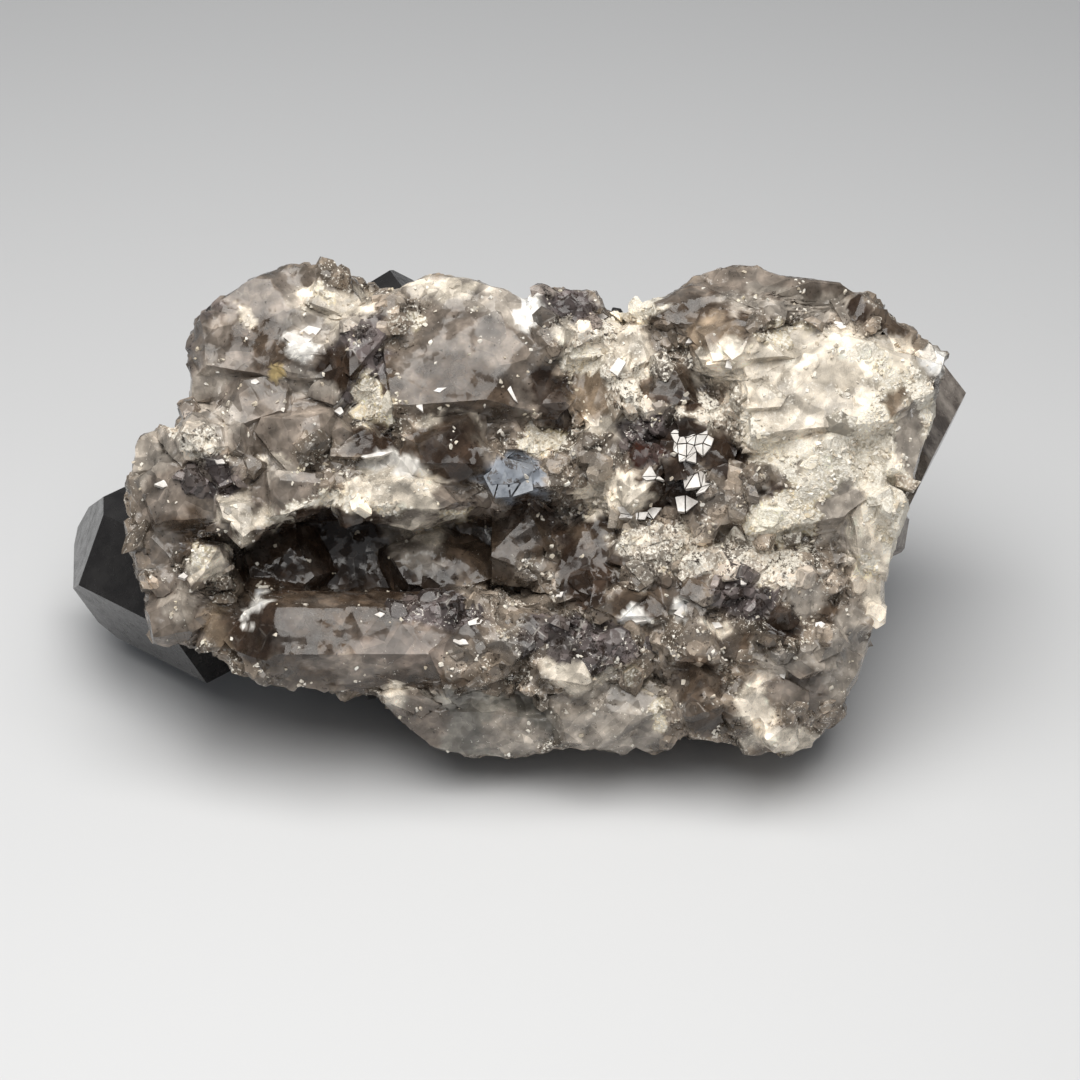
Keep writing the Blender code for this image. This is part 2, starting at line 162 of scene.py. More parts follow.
def refined(name, source, longest_edge):
    """A finer copy of a solid's mesh, its edges halved until none is longer than its place allows."""
    body = bmesh.new()
    body.from_mesh(source.data)
    bmesh.ops.remove_doubles(body, verts=body.verts, dist=0.002 * MM)
    bmesh.ops.dissolve_degenerate(body, dist=0.002 * MM, edges=body.edges)
    bmesh.ops.triangulate(body, faces=body.faces)
    for _ in range(9):
        long_edges = [edge for edge in body.edges if edge.calc_length() > longest_edge(edge)]
        if not long_edges:
            break
        bmesh.ops.subdivide_edges(body, edges=long_edges, cuts=1)
        bmesh.ops.triangulate(body, faces=[face for face in body.faces if len(face.verts) > 3])
    mesh = bpy.data.meshes.new(name)
    body.to_mesh(mesh)
    body.free()
    return mesh


def slab_edge(edge):
    """The front is cut finest, because its grain shows most."""
    out = (edge.verts[0].co / MM - FACE_CENTRE).dot(OUT_OF_FACE)
    return (FRONT_EDGE if out > FRONT_DEPTH else REAR_EDGE) * MM


# Each mineral: colour, how see-through it is, shares of pale crust and of dark grain, roughness, coarseness
MINERALS = {
    "smoky grey": ((0.29, 0.24, 0.198), 0.5, 0.06, 0.06, 0.13, 0.12),
    "smoky brown": ((0.115, 0.082, 0.058), 0.5, 0.04, 0.1, 0.12, 0.15),
    "dark brown": ((0.05, 0.032, 0.022), 0.35, 0.02, 0.15, 0.12, 0.2),
    "red brown": ((0.045, 0.016, 0.010), 0.2, 0.0, 0.2, 0.15, 0.2),
    "milky": ((0.72, 0.64, 0.53), 0.2, 0.2, 0.02, 0.25, 0.3),
    "pale grey": ((0.46, 0.405, 0.345), 0.4, 0.12, 0.04, 0.18, 0.2),
    "white": ((0.86, 0.83, 0.78), 0.0, 0.2, 0.0, 0.3, 0.2),
    "crust": ((0.80, 0.72, 0.58), 0.05, 0.7, 0.05, 0.6, 0.4),
    "cream": ((0.84, 0.72, 0.48), 0.0, 0.8, 0.0, 0.8, 0.4),
    "ochre": ((0.55, 0.42, 0.20), 0.0, 0.3, 0.0, 0.7, 0.2),
    "beige": ((0.29, 0.22, 0.155), 0.35, 0.04, 0.02, 0.2, 0.05),
    "violet grey": ((0.125, 0.103, 0.10), 0.3, 0.18, 0.3, 0.15, 0.75),
    "blue grey": ((0.17, 0.185, 0.21), 0.0, 0.05, 0.3, 0.3, 0.1),
    "green grey": ((0.37, 0.345, 0.30), 0.5, 0.04, 0.02, 0.15, 0.05),
    "pink grey": ((0.24, 0.19, 0.155), 0.45, 0.04, 0.02, 0.15, 0.05),
    "speckled": ((0.50, 0.43, 0.35), 0.1, 0.55, 0.25, 0.6, 0.9),
    "mosaic": ((0.285, 0.232, 0.182), 0.4, 0.25, 0.17, 0.2, 0.7),
}

# Each spot: across, up, half width, half height, roll and kind. Later spots lie over earlier ones.
SPOTS = [
    (-55, 40, 17, 16, 0, "smoky grey"), (-66, 36, 5, 12, -8, "violet grey"),
    (-64, 38, 6, 8, 0, "smoky grey"), (-54, 50, 9, 3, 12, "smoky grey"),
    (-46, 44, 6, 7, 0, "pale grey"), (-45, 48, 3, 3, 0, "milky"), (-56, 40, 7, 6, -30, "smoky brown"),
    (-66, 31, 5, 4.5, 0, "pale grey"), (-58.6, 44.4, 2.4, 2.2, 0, "milky"),
    # The white spot at -48, 39 lies under a glint: its pale colour is partly painted highlight.
    (-48, 39, 3.6, 2.4, -20, "white"), (-38, 46, 6, 4, -10, "milky"),
    (-43.4, 49.2, 1.5, 3, 15, "cream"), (-35, 36, 7, 11, -35, "violet grey"),
    (-40, 34, 5, 4, 0, "dark brown"), (-46, 30, 7, 4, -10, "pale grey"), (-33, 28, 3, 6, 20, "cream"),
    (-27.6, 32, 5, 4.6, 0, "smoky brown"), (-52.6, 33.8, 2.2, 1.3, -10, "ochre"),
    (-27, 42, 5, 4, 0, "mosaic"), (-24.3, 44, 1.6, 1.2, -30, "cream"),
    (-13.5, 34, 15, 14, 0, "smoky grey"), (-15, 30, 10, 7, -15, "smoky brown"),
    (-13, 49.5, 16, 4, -4, "pale grey"), (-20, 50.5, 8, 2, 4, "milky"),
    # The white spot at -1.6, 45 lies under a glint: its pale colour is partly painted highlight.
    (-5, 46, 5, 4, -20, "pale grey"), (-1.6, 45, 2.6, 4.4, 0, "white"), (-18, 23, 7, 3, -10, "milky"),
    (6, 47, 6.6, 3.8, -4, "violet grey"), (2, 28, 3.8, 8.6, 12, "dark brown"),
    (1, 20, 5, 2.6, 10, "cream"), (9, 41, 6, 2.4, -8, "milky"), (14, 42, 5, 3, 0, "speckled"),
    (12.5, 29, 7, 6.6, 0, "beige"), (19, 33, 6, 8, 20, "speckled"), (17, 38, 6, 4, 10, "milky"),
    (16, 22, 7, 3, -10, "milky"), (31, 45.8, 12.4, 4.8, -10, "smoky brown"),
    (20, 46, 6, 2.6, 14, "crust"), (47, 51, 17, 4.4, -3, "smoky grey"),
    (50, 47, 15, 3, -4, "pale grey"), (64, 46.2, 3.2, 2.8, 30, "dark brown"),
    (70, 43, 3.4, 2.4, -30, "smoky brown"), (28, 31, 8, 5, 10, "smoky brown"),
    (30, 25, 8, 4, 0, "speckled"), (27, 28, 4, 2, 0, "dark brown"), (35, 40, 6, 5, 0, "beige"),
    (38, 35, 7, 5, 0, "milky"), (52, 40, 8, 2.6, -6, "cream"), (58, 34, 20, 8, 0, "milky"),
    (60, 24, 20, 15, 0, "crust"), (54, 29, 13, 9, 10, "milky"), (55, 11, 13, 4, 8, "cream"),
    (55, 15, 6, 1.2, 12, "smoky grey"), (72, 27, 3, 3, 0, "beige"), (74, 20, 3, 8, 0, "pale grey"),
    # The white spot at 79, 36 lies under a glint: its pale colour is partly painted highlight.
    (79, 36, 2.6, 3, 0, "white"), (38, 16, 5, 5, 0, "mosaic"), (37, 17, 3.4, 4, 0, "dark brown"),
    (45, 7, 7, 7, 0, "mosaic"), (50, 4, 5, 5, 0, "cream"), (63, 3, 7, 6, 0, "pale grey"),
    (60, 14, 8, 6, 0, "crust"), (22, 20, 8, 5, 0, "violet grey"), (21, 17.4, 4.4, 1.8, 14, "red brown"),
    (24, 10, 8, 4, 20, "dark brown"), (29, 19, 5, 5.4, 0, "dark brown"), (15, 9, 7, 5, 0, "milky"),
    (7, 15, 6, 4, -20, "mosaic"), (9, 36, 5, 3, 0, "crust"), (3, 11, 5, 4, 0, "mosaic"),
    (-12, 16, 3, 3, 0, "pale grey"), (-5, 12.5, 7, 4.8, -10, "blue grey"),
    (-19, 16.6, 9, 8.4, 35, "smoky brown"), (-17, 17, 5.5, 6, 35, "dark brown"),
    (-35, 19.5, 7, 3, -8, "dark brown"), (-30, 14, 7, 4, 0, "white"), (-28, 9, 12, 4.6, -10, "milky"),
    (-14, 7, 8, 3, -20, "smoky grey"), (-47, 21, 9, 8, 20, "smoky grey"),
    (-58, 26, 9, 7, 0, "smoky grey"), (-45, 17, 5, 4, 0, "mosaic"), (-53, 15, 3.4, 2.4, -20, "milky"),
    (-67, 22, 7, 5, 15, "pale grey"), (-70, 19, 6, 4, 0, "speckled"), (-77, 16, 6, 6, 0, "pale grey"),
    (-70, 6, 11, 10, 0, "smoky grey"), (-66, 12, 6, 4, 0, "violet grey"),
    (-71, 1, 7, 5, 0, "smoky brown"), (-76, -2, 3, 5, 0, "smoky grey"),
    (-58.5, 5.6, 6, 4, -10, "milky"), (-51, 10, 7, 4, 10, "smoky grey"),
    (-52, 14, 3, 2, 0, "pale grey"), (-60, 0, 3, 1.6, 20, "milky"), (-50, 5, 6, 1.3, 26, "crust"),
    (-40, 7.6, 6, 1.2, 0, "crust"), (-28, 5.6, 8, 1.4, -10, "crust"), (-19, 4, 6, 1.4, 12, "cream"),
    # The dark brown spots at -34, -3, -42, -1, -1, 3, -30, -8 and -55, -8 fill the open hollow under the
    # ledge: their darkness is partly the smoky quartz and partly painted shade, the shadow the ledge casts
    # into the hollow.
    (-34, -3, 25, 9, 0, "dark brown"), (-42, -1, 11, 7.6, 0, "dark brown"),
    (-22, -1, 10, 6, -20, "pale grey"), (-24, 2, 5, 2, -20, "milky"), (-12, -2, 8, 7, 0, "smoky brown"),
    (-1, 3, 6.6, 6, 0, "dark brown"), (-2, 0, 5, 4, 0, "smoky brown"),
    (9.4, -4, 6.6, 9.6, 0, "dark brown"), (9, 0, 3, 3, 0, "smoky brown"),
    (-30, -8, 14, 2, -12, "dark brown"), (-55, -8, 6, 4, 0, "dark brown"),
    (-66.6, -5, 4, 4, 0, "milky"), (-68, -3, 2, 3, 30, "cream"),
    (-73, -14.5, 7.4, 7.4, 0, "smoky grey"), (-72, -13, 4, 3, 0, "pale grey"),
    (-64, -17, 3.4, 5, 0, "beige"), (-36, -20, 27, 9.5, -4, "smoky brown"),
    (-34, -25, 22, 4.5, -6, "smoky brown"), (-28, -22, 10, 4, -6, "pink grey"),
    (-55, -17, 8.6, 7.8, 20, "smoky brown"), (-55, -18, 7, 5.5, 30, "dark brown"),
    (-56.6, -12.6, 2.8, 1.9, 20, "white"), (-58.6, -15.4, 1.4, 0.8, 0, "white"),
    (-41, -12.4, 9, 2.0, -4, "smoky brown"), (-38, -25, 9, 2.6, -6, "smoky grey"),
    (-19, -14.4, 10, 3.6, -8, "violet grey"), (-24, -21, 8, 5, -10, "pink grey"),
    (-12, -24, 7, 4.4, 10, "mosaic"), (-25.6, -33, 7, 2.4, -26, "milky"),
    (-15, -37, 19, 7, 0, "green grey"), (-24, -37, 6, 6, 30, "smoky grey"),
    (-6, -39, 7, 4, 0, "pale grey"), (7, -26.6, 7.4, 3.4, -4, "milky"),
    (14, -36, 12, 7.6, 0, "pale grey"), (20, -27, 4, 1.0, -45, "cream"), (24, -35, 1.4, 4, 15, "cream"),
    (38, -18, 22, 17, 0, "mosaic"), (27, -2, 13, 5, -6, "speckled"), (38, -3, 8, 5, 0, "speckled"),
    (24, -11.6, 10, 3.4, 12, "smoky brown"), (42, -10.6, 7, 5, 0, "violet grey"),
    # The white spots at 28.4, -14.2 and 19.6, -15.8 and the milky one at 35, -17 lie under glints: their pale
    # colour is partly painted highlight.
    (8, -20, 13, 4.6, -6, "violet grey"), (28.4, -14.2, 2.2, 2, 0, "white"),
    (19.6, -15.8, 2.6, 1.2, -10, "white"), (35, -17, 3.4, 1.4, -20, "milky"),
    (49, -17, 4, 3, 0, "dark brown"), (39.8, -21, 3.6, 3.2, 0, "smoky brown"),
    (31, -27.6, 6, 4, 0, "smoky brown"), (33.4, -36, 4.6, 4, 0, "smoky brown"),
    (43.4, -33, 4, 5.4, 12, "milky"), (53, -12, 3.4, 3.4, 0, "pale grey"),
    (59, -15.4, 3.8, 2.2, -14, "smoky brown"), (57, -26, 8, 6, 0, "pale grey"),
    (46, -26, 5, 3, 0, "pale grey"), (48, -5, 6, 4, 0, "speckled"), (52, -30, 5, 4, 0, "smoky grey"),
    (50, -40, 10, 2.6, 0, "milky"), (62, 6, 6, 5, 0, "pale grey"), (68, -4, 6, 13, 8, "milky"),
    (70, 6, 4, 9, 8, "crust"), (44.4, 4, 3.4, 3, -20, "cream"), (65.6, -5, 2.2, 2.4, 0, "cream"),
    (63, -22, 3.6, 10, 12, "pale grey"), (46, 9.6, 2.2, 1, 0, "dark brown"),
    (30, 7, 3, 2.4, 0, "dark brown"), (36, 2, 3, 3, 0, "mosaic"),
]


def ease(low, high, value):
    """0 below low, 1 above high, and a smooth rise between."""
    share = np.clip((value - low) / (high - low), 0, 1)
    return share * share * (3 - 2 * share)


def minerals_at(points, kind_elsewhere):
    """The mix of minerals at each point, with the same values as a row of MINERALS."""
    def row(kind):
        colour, *rest = MINERALS[kind]
        return np.array([*colour, *rest])

    across, up, out = seen(points)
    across = across + 0.7 * waves(points, 5, 11) + 0.35 * waves(points, 1.6, 12)
    up = up + 0.7 * waves(points, 5, 13) + 0.35 * waves(points, 1.6, 14)
    mix = np.tile(row(kind_elsewhere), (len(points), 1))
    front = ease(-24, -18, out)[:, None]
    for spot_across, spot_up, half_width, half_height, roll, kind in SPOTS:
        turn = math.radians(roll)
        right, high = across - spot_across, up - spot_up
        along = (right * math.cos(turn) + high * math.sin(turn)) / half_width
        aside = (high * math.cos(turn) - right * math.sin(turn)) / half_height
        share = ease(1.12, 0.88, np.sqrt(along**2 + aside**2))[:, None] * front
        mix += (row(kind) - mix) * share
    return mix


def face_up(mesh):
    """The corners of a mesh and the way each faces, as two arrays."""
    found = []
    for what in ("co", "normal"):
        values = np.empty(len(mesh.vertices) * 3)
        mesh.vertices.foreach_get(what, values)
        found.append(values.reshape(-1, 3))
    return found


def corner_values(mesh, name, values):
    """Stores one number, or one colour, for each corner of a mesh."""
    colour = values.ndim == 2
    layer = mesh.attributes.new(name, "FLOAT_COLOR" if colour else "FLOAT", "POINT")
    if colour:
        values = np.hstack([values, np.ones((len(values), 1))])
    layer.data.foreach_set("color" if colour else "value", values.astype(np.float32).ravel())


def grown(field, reach):
    """Each place of a grid takes the highest value within reach of it."""
    for _ in range(reach):
        field = np.max([np.roll(field, step, axis) for axis in (0, 1) for step in (-1, 0, 1)], axis=0)
    return field


def smoothed(field, times):
    for _ in range(times):
        field = np.mean([np.roll(field, step, axis) for axis in (0, 1) for step in (-1, 0, 0, 1)], axis=0)
    return field


def crevices_filled(points):
    """How far each point comes forward, so that the gaps between lumps are filled with broken quartz."""
    across, up, out = seen(points)
    column, line = np.round(across + 110).astype(int), np.round(up + 70).astype(int)
    height = np.full((220, 140), -60.0)
    np.maximum.at(height, (column, line), out)
    inside = grown(-grown(height, 2), 7)[column, line] < 30
    height = np.maximum(height, -16)
    skin = smoothed(grown(height, 3), 5)[column, line]
    depth = skin - out
    deeper = np.maximum(depth - CREVICE_DEPTH, 0)
    squeezed = CREVICE_DEPTH * (1 - np.exp(-deeper / CREVICE_DEPTH)) + CREVICE_DEPTH
    forward = np.where(depth > CREVICE_DEPTH, depth - squeezed, 0)
    for middle, high, half_width, half_height in HOLLOWS:
        gap = np.hypot((across - middle) / half_width, (up - high) / half_height)
        forward *= ease(0.9, 1.25, gap)
    return forward * inside * ease(-18.5, -16.5, out)


slab_mesh = refined("quartz_matrix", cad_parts["matrix"], slab_edge)
points, outward = face_up(slab_mesh)
points += crevices_filled(points)[:, None] * MM * np.array(OUT_OF_FACE)
slab_mesh.vertices.foreach_set("co", points.ravel())
slab_mesh.update()
points, outward = face_up(slab_mesh)
coarse = minerals_at(points, "mosaic")[:, 7]
front = ease(-26, -18, seen(points)[2])
relief = facets(points, spacing=7.0, height=0.5, tilt=15, seed=21) * (0.3 + 0.7 * ease(0.12, 0.6, coarse))
relief += facets(points, spacing=2.6, height=0.12, tilt=16, seed=23) * coarse
points += outward * (relief * MM * (0.35 + 0.65 * front))[:, None]
points[:, 2] = np.maximum(points[:, 2], 0)
slab_mesh.vertices.foreach_set("co", points.ravel())
slab_mesh.update()

mix = minerals_at(points, "mosaic")
unevenness = 0.14 * waves(points, size=2.4, seed=35) + 0.1 * waves(points, size=9, seed=36)
tint = mix[:, :3] * np.exp(unevenness)[:, None]
corner_values(slab_mesh, "tint", np.clip(tint, 0, 1))
for place, name in enumerate(("see_through", "crust", "grime", "gloss", "coarse"), 3):
    corner_values(slab_mesh, name, mix[:, place])
corner_values(slab_mesh, "tone", np.full(len(points), 0.5))


class Nodes:
    """Short ways to put a material's nodes together."""

    def __init__(self, name):
        self.material = bpy.data.materials.new(name)
        self.material.use_nodes = True
        self.tree = self.material.node_tree
        self.shader = self.tree.nodes["Principled BSDF"]
        self.place = self.tree.nodes.new("ShaderNodeTexCoord").outputs["Object"]

    def link(self, source, target):
        if isinstance(source, (int, float)):
            target.default_value = source
        elif isinstance(source, tuple):
            target.default_value = (*source, 1)
        else:
            self.tree.links.new(source, target)

    def values(self, name):
        node = self.tree.nodes.new("ShaderNodeAttribute")
        node.attribute_name = name
        return node

    def noise(self, scale, detail=3.0, roughness=0.6):
        node = self.tree.nodes.new("ShaderNodeTexNoise")
        self.link(self.place, node.inputs["Vector"])
        node.inputs["Scale"].default_value = scale
        node.inputs["Detail"].default_value = detail
        node.inputs["Roughness"].default_value = roughness
        return node.outputs["Fac"]

    def grains(self, scale, feature="F1"):
        node = self.tree.nodes.new("ShaderNodeTexVoronoi")
        node.feature = feature
        self.link(self.place, node.inputs["Vector"])
        node.inputs["Scale"].default_value = scale
        return node

    def sum(self, kind, first, second):
        node = self.tree.nodes.new("ShaderNodeMath")
        node.operation = kind
        self.link(first, node.inputs[0])
        self.link(second, node.inputs[1])
        return node.outputs[0]

    def span(self, value, low, high, to_low=0.0, to_high=1.0):
        node = self.tree.nodes.new("ShaderNodeMapRange")
        self.link(value, node.inputs["Value"])
        for name, number in zip(("From Min", "From Max", "To Min", "To Max"), (low, high, to_low, to_high)):
            self.link(number, node.inputs[name])
        return node.outputs["Result"]

    def channel(self, node, name):
        parts = self.tree.nodes.new("ShaderNodeSeparateColor")
        self.link(node.outputs["Color"], parts.inputs["Color"])
        return parts.outputs[name]

    def scaled(self, colour, factor):
        node = self.tree.nodes.new("ShaderNodeVectorMath")
        node.operation = "SCALE"
        self.link(colour, node.inputs[0])
        self.link(factor, node.inputs["Scale"])
        return node.outputs[0]

    def tilted(self, sets):
        """The surface's normal, leaned its own way in each grain. A set is its grains and their steepness."""
        way = self.tree.nodes.new("ShaderNodeNewGeometry").outputs["Normal"]
        for grains, steepness in sets:
            lean, total = [self.tree.nodes.new("ShaderNodeVectorMath") for _ in range(2)]
            lean.operation, total.operation = "SUBTRACT", "ADD"
            self.link(grains.outputs["Color"], lean.inputs[0])
            lean.inputs[1].default_value = (0.5, 0.5, 0.5)
            self.link(way, total.inputs[0])
            self.link(self.scaled(lean.outputs[0], steepness), total.inputs[1])
            way = total.outputs[0]
        even = self.tree.nodes.new("ShaderNodeVectorMath")
        even.operation = "NORMALIZE"
        self.link(way, even.inputs[0])
        return even.outputs[0]

    def mix(self, share, first, second):
        node = self.tree.nodes.new("ShaderNodeMix")
        node.data_type = "RGBA"
        self.link(share, node.inputs[0])
        self.link(first, node.inputs[6])
        self.link(second, node.inputs[7])
        return node.outputs[2]

    def bump(self, height, strength, distance, normal=None):
        node = self.tree.nodes.new("ShaderNodeBump")
        self.link(height, node.inputs["Height"])
        self.link(strength, node.inputs["Strength"])
        node.inputs["Distance"].default_value = distance
        if normal:
            self.link(normal, node.inputs["Normal"])
        return node.outputs["Normal"]

    def absorb(self, colour, density):
        node = self.tree.nodes.new("ShaderNodeVolumeAbsorption")
        node.inputs["Color"].default_value = (*colour, 1)
        node.inputs["Density"].default_value = density
        self.link(node.outputs["Volume"], self.tree.nodes["Material Output"].inputs["Volume"])


def broken_quartz():
    """Glassy where it broke clean, with cells of their own tone and tilt, and dull and pale under crust."""
    n = Nodes("broken smoky quartz")
    crust, grime, coarse = [n.values(name).outputs["Fac"] for name in ("crust", "grime", "coarse")]
    tone = n.values("tone").outputs["Fac"]
    large, small = n.grains(LARGE_GRAINS), n.grains(SMALL_GRAINS)
    large_chance, small_chance = n.channel(large, "Red"), n.channel(small, "Red")
    ragged = n.noise(1500, 3, 0.75)
    cloud = n.noise(260, 3, 0.6)

    level = n.sum("ADD", n.span(large_chance, 0, 1, -0.28, 0.28), n.span(small_chance, 0, 1, -0.16, 0.16))
    level = n.sum("MULTIPLY", level, n.span(coarse, 0, 1, 0.65, 1.1))
    level = n.sum("ADD", level, n.span(cloud, 0.3, 0.7, -0.17, 0.17))
    level = n.sum("ADD", level, n.span(tone, 0, 1, -0.35, 0.35))
    brightness = n.sum("EXPONENT", n.sum("MULTIPLY", level, 1.6), 0.0)
    colour = n.scaled(n.values("tint").outputs["Color"], brightness)

    veil = n.span(n.noise(95, 4, 0.62), 0.5, 0.74, 0.0, 0.34)
    veil = n.sum("MULTIPLY", veil, n.span(n.values("see_through").outputs["Fac"], 0.0, 0.5))
    colour = n.mix(veil, colour, (0.46, 0.42, 0.38))
    spread = n.span(n.channel(large, "Green"), 0, 1, -0.15, 0.15)
    spread = n.sum("ADD", spread, n.span(ragged, 0.3, 0.7, -0.38, 0.38))
    crusted = n.span(n.sum("ADD", crust, spread), 0.5, 0.56)
    dirt = n.span(n.channel(small, "Green"), 0, 1, -0.25, 0.25)
    dirt = n.sum("ADD", dirt, n.span(ragged, 0.3, 0.7, 0.3, -0.3))
    grimed = n.span(n.sum("ADD", grime, dirt), 0.42, 0.5)
    rim = n.span(n.grains(LARGE_GRAINS, "DISTANCE_TO_EDGE").outputs["Distance"], 0.0, 0.05, 1.0, 0.0)
    rim = n.sum("MULTIPLY", rim, n.span(n.noise(230, 2), 0.52, 0.64))
    rim = n.sum("MULTIPLY", rim, n.span(coarse, 0.15, 0.8, 0.06, 0.6))
    colour = n.mix(n.sum("MULTIPLY", grimed, 0.85), colour, (0.035, 0.024, 0.018))
    colour = n.mix(rim, colour, (0.72, 0.68, 0.62))
    pale = n.mix(n.span(ragged, 0.35, 0.65), (0.55, 0.49, 0.40), (0.92, 0.88, 0.79))
    colour = n.mix(n.sum("MULTIPLY", crusted, 0.9), colour, pale)
    n.link(colour, n.shader.inputs["Base Color"])

    rough = n.sum("ADD", n.values("gloss").outputs["Fac"], n.span(ragged, 0.3, 0.7, -0.08, 0.12))
    n.link(n.span(crusted, 0.0, 1.0, rough, 0.85), n.shader.inputs["Roughness"])
    clear = n.sum("MULTIPLY", n.values("see_through").outputs["Fac"], n.span(cloud, 0.4, 0.65, 1.0, 0.6))
    clear = n.sum("MULTIPLY", clear, n.span(crusted, 0.0, 1.0, 1.0, 0.0))
    n.link(clear, n.shader.inputs["Transmission Weight"])
    n.shader.inputs["IOR"].default_value = 1.544
    n.shader.inputs["Specular IOR Level"].default_value = 0.3
    n.absorb((0.62, 0.52, 0.43), 75)
    large_lean, small_lean = n.span(coarse, 0.1, 0.6, 0.15, 0.6), n.span(coarse, 0.1, 0.6, 0.12, 0.5)
    facet = n.tilted([(large, large_lean), (small, small_lean)])
    grit = n.bump(n.noise(2400, 1, 0.7), n.sum("MULTIPLY", crusted, 0.9), 0.0003, facet)
    n.link(grit, n.shader.inputs["Normal"])
    return n.material


slab_mesh.shade_smooth()
slab_mesh.set_sharp_from_angle(angle=math.radians(13))
quartz_matrix = bpy.data.objects.new("quartz_matrix", slab_mesh)
scene.collection.objects.link(quartz_matrix)
quartz_look = broken_quartz()
slab_mesh.materials.append(quartz_look)
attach(quartz_matrix, "root")
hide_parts("matrix")


# The broken face is a jumble of loose-looking grains of the same quartz, each a chip with flat faces and its
# own tone, held by the slab. Geometry Nodes scatter them over it, thickest where the break is crumbly.
def cut_shape(name, planes):
    """A closed block cut out of a cube by planes, each a normal and its distance from the middle."""
    block = bmesh.new()
    bmesh.ops.create_cube(block, size=3)
    for normal, distance in planes:
        whole = block.verts[:] + block.edges[:] + block.faces[:]
        way = Vector(normal).normalized()
        spot = way * distance
        cut = bmesh.ops.bisect_plane(block, geom=whole, plane_co=spot, plane_no=way, clear_outer=True)
        rim = [item for item in cut["geom_cut"] if isinstance(item, bmesh.types.BMEdge)]
        if rim:
            bmesh.ops.holes_fill(block, edges=rim, sides=0)
    bmesh.ops.recalc_face_normals(block, faces=block.faces[:])
    bmesh.ops.triangulate(block, faces=block.faces[:])
    mesh = bpy.data.meshes.new(name)
    block.to_mesh(mesh)
    block.free()
    return mesh


def shape_set(name, meshes):
    """A collection that holds one object for each mesh, kept out of the scene."""
    group = bpy.data.collections.new(name)
    for mesh in meshes:
        group.objects.link(bpy.data.objects.new(mesh.name, mesh))
    return group


def chip_shape(seed):
    chance = np.random.default_rng(seed)
    top = (chance.uniform(-0.1, 0.1), chance.uniform(-0.1, 0.1), 1)
    planes = [(top, chance.uniform(0.14, 0.3)), ((0, 0, -1), 0.7)]
    sides = int(chance.integers(4, 7))
    for i in range(sides):
        about = math.tau * (i + chance.uniform(-0.3, 0.3)) / sides
        reach = chance.uniform(0.6, 1.0)
        planes.append(((math.cos(about), math.sin(about), chance.uniform(0.1, 0.8)), reach))
        if i % 2:
            planes.append(((math.cos(about + 0.5), math.sin(about + 0.5), 1.2), reach * 0.82))
    return cut_shape("chip", planes)


